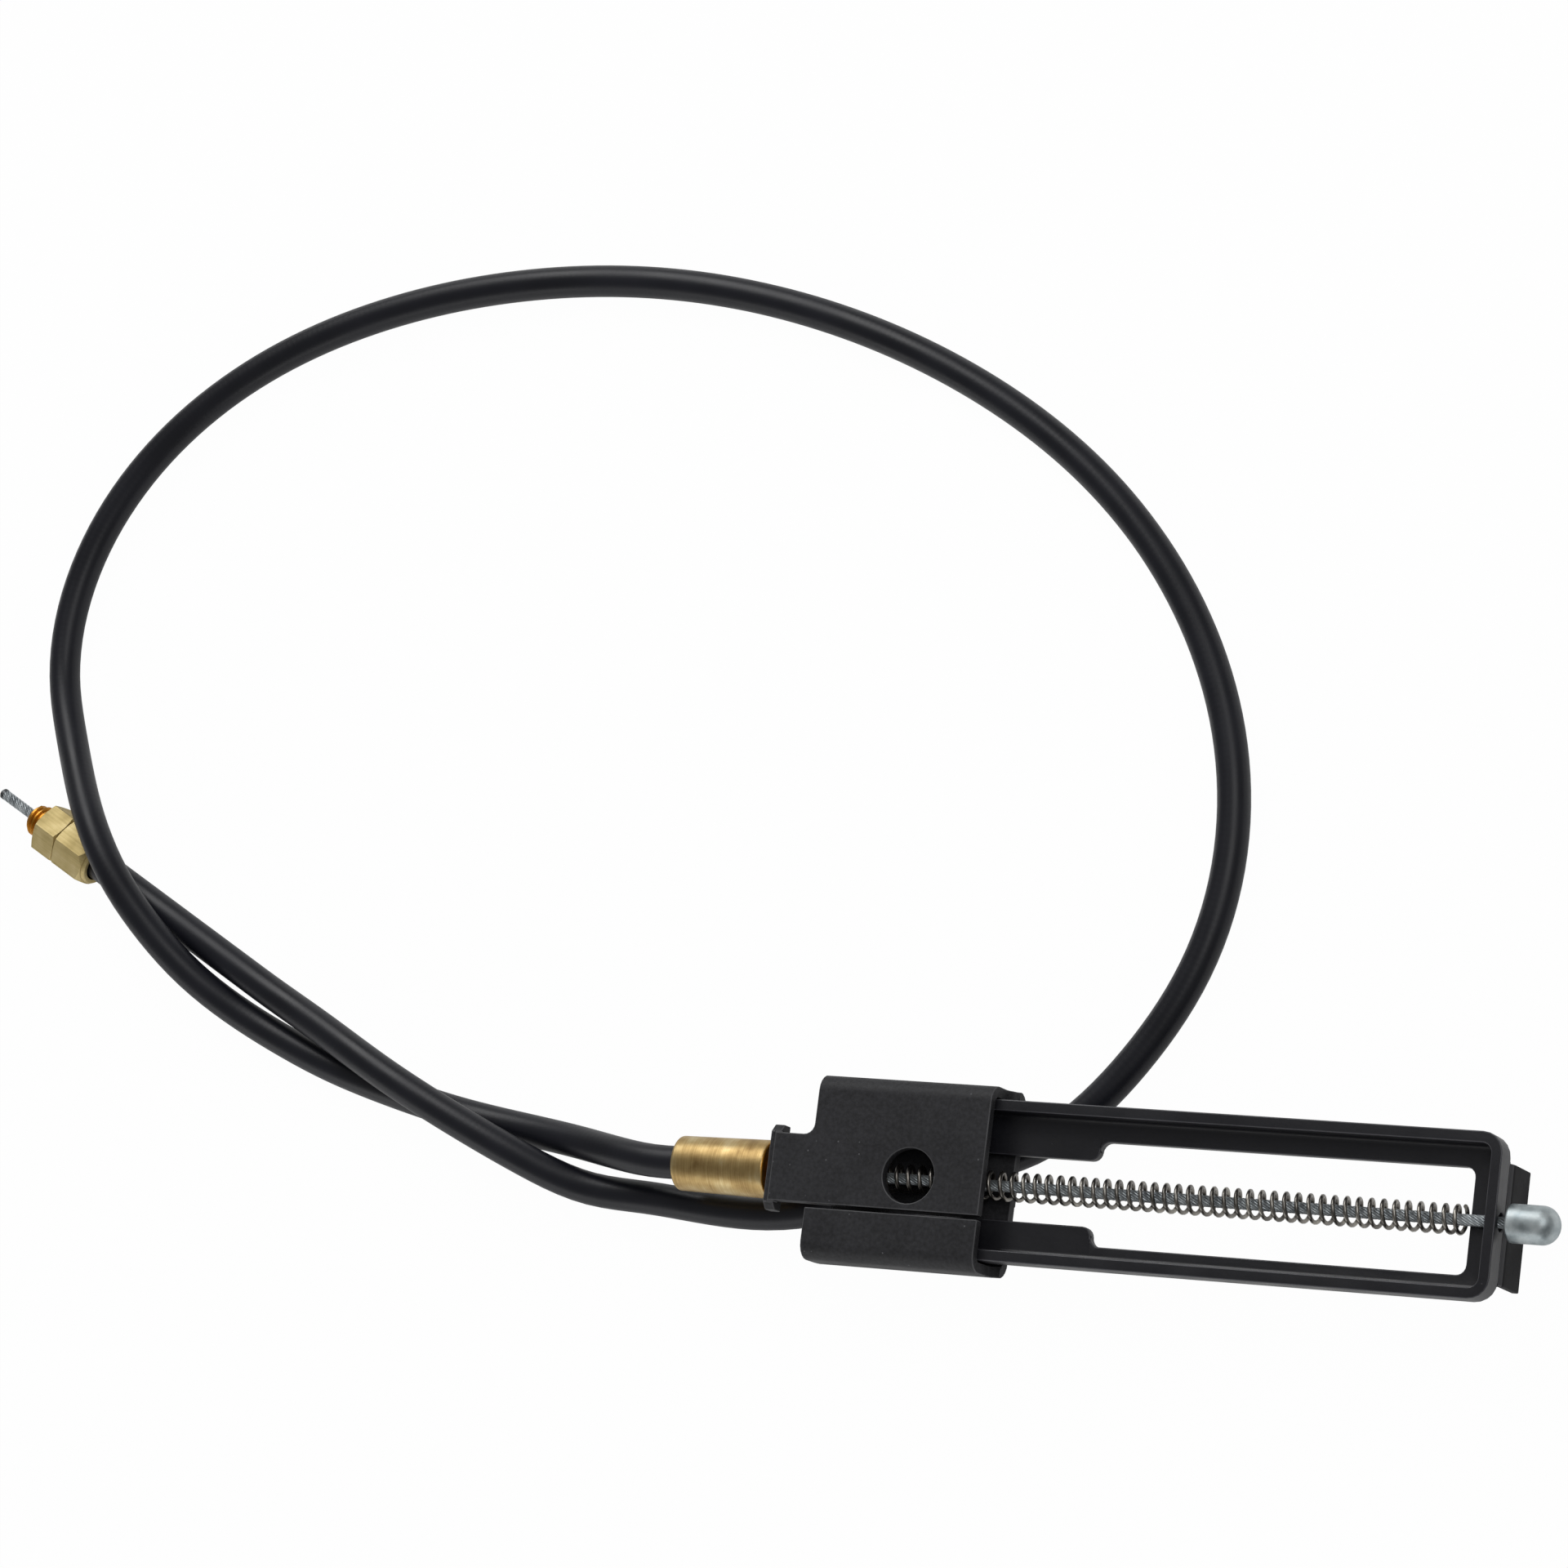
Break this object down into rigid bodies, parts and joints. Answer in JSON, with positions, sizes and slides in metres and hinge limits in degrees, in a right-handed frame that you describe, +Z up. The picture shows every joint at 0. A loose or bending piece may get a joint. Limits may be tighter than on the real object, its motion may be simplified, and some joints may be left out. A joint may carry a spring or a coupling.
{
  "type": "cable-operated sliding clamp head",
  "caption": "Sliding jaw frame drawn along a folded sleeve by a sheathed pull cable against a return coil spring, with a hex adjuster at the cable's free end.",
  "frame": {"origin": "Middle of the clamp head, cable left out, on the table that both jaw tips stand on.", "axes": "+X along the slide from the ferrule to the nipple, +Z up from the table through the front plate, +Y across the head towards the cable's loop."},
  "size_m": [0.2979, 0.1706, 0.016],
  "materials": {
    "sleeve_black": "matte charcoal coating on folded steel sheet",
    "frame_black": "semi-gloss black coating on pressed steel",
    "turned_brass": "turned, with fine tool lines",
    "drawn_brass": "pale drawn hexagon bar",
    "cast_zinc": "as-cast zinc, dull silver",
    "galvanised_wire": "galvanised twisted strand",
    "spring_steel": "drawn spring wire",
    "conduit_steel": "bright wound steel",
    "black_sheath": "satin black extruded sheath"
  },
  "bodies": {
    "sleeve_and_casing": {"slide_body": "sleeve_black", "casing_ferrule": "turned_brass", "return_spring": "spring_steel", "head_wire": "galvanised_wire", "casing_sheath": "black_sheath", "casing_conduit": "conduit_steel", "inner_wire": "galvanised_wire", "hex_adjuster": "drawn_brass", "jam_nut": "drawn_brass"},
    "sliding_jaw": {"jaw_frame": "frame_black", "cable_nipple": "cast_zinc"},
    "pull_wire": {"wire_tail": "galvanised_wire"}
  },
  "joints": [
    {"name": "jaw_slide", "type": "slide", "parent": "sleeve_and_casing", "child": "sliding_jaw", "axis": [-1, 0, 0], "range_m": [0, 0.05], "stiffness_N_per_m": 130, "springref_m": -0.01, "deforming": ["return_spring", "head_wire"]},
    {"name": "wire_slide", "type": "slide", "parent": "sleeve_and_casing", "child": "pull_wire", "axis": [-0.8796, 0.4756, 0], "range_m": [0, 0.05]}
  ],
  "couplings": [
    {"joint": "wire_slide", "follows": "jaw_slide", "ratio": 1}
  ]
}
